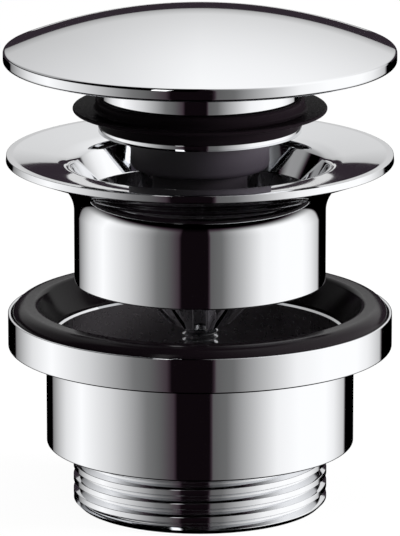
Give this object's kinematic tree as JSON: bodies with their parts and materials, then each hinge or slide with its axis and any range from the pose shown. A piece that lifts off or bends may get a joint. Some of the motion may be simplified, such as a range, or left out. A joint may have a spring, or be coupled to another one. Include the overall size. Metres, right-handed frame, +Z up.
{
  "type": "pop up basin waste",
  "caption": "Push-open basin waste: domed chrome cap on a sprung plug with a lip seal, flanged cup, tie screw, and a gasketed lower body with a threaded outlet tail.",
  "frame": {"origin": "centre of the tail's lower end face", "axes": "+Z up along the waste's axis, from the tail to the cap; -Y towards the viewer of the picture"},
  "size_m": [0.0642, 0.0642, 0.0824],
  "materials": {
    "chrome": "polished chrome plate on brass",
    "seal_rubber": "satin moulded rubber",
    "gasket_rubber": "satin moulded rubber",
    "dark_plastic": "moulded satin plastic",
    "post_plastic": "moulded satin plastic",
    "bush_plastic": "natural acetal",
    "fibre": "pressed fibre",
    "brass": "turned brass",
    "steel": "stainless steel"
  },
  "bodies": {
    "lower_body": {"waste_body": "chrome", "body_gasket": "gasket_rubber", "tie_nut": "brass"},
    "flange": {"flange_cup": "chrome", "guide_post": "post_plastic", "post_lock_ring": "steel", "latch_clip": "steel", "return_spring": "steel", "tie_washer": "steel"},
    "plug": {"plug_cap": "chrome", "cap_washer": "fibre", "seal_carrier": "chrome", "lip_seal": "seal_rubber", "plunger_sleeve": "dark_plastic", "sleeve_bush": "bush_plastic", "wiper_ring": "seal_rubber", "plunger_rod": "brass"},
    "latch": {"latch_ring": "steel", "latch_pins": "steel"},
    "tie": {"tie_screw": "steel"}
  },
  "joints": [
    {"name": "clamp_adjust", "type": "slide", "parent": "lower_body", "child": "flange", "axis": [0, 0, 1], "range_m": [-0.009, 0.003]},
    {"name": "tie_turn", "type": "hinge", "parent": "flange", "child": "tie", "pos_m": [0, 0, 0.0337], "axis": [0, 0, 1], "range_deg": [-3240.5, 1080.5]},
    {"name": "plug_press", "type": "slide", "parent": "flange", "child": "plug", "axis": [0, 0, 1], "range_m": [-0.0087, 0], "stiffness_N_per_m": 600, "springref_m": 0.012, "deforming": ["return_spring"]},
    {"name": "latch_turn", "type": "hinge", "parent": "flange", "child": "latch", "pos_m": [0, 0, 0.05895], "axis": [0, 0, 1], "range_deg": [-0.5, 60.5]}
  ],
  "couplings": [
    {"joint": "tie_turn", "follows": "clamp_adjust", "rad_per_m": 6283.2},
    {"joint": "latch_turn", "follows": "plug_press", "rad_per_m": -120.37}
  ]
}
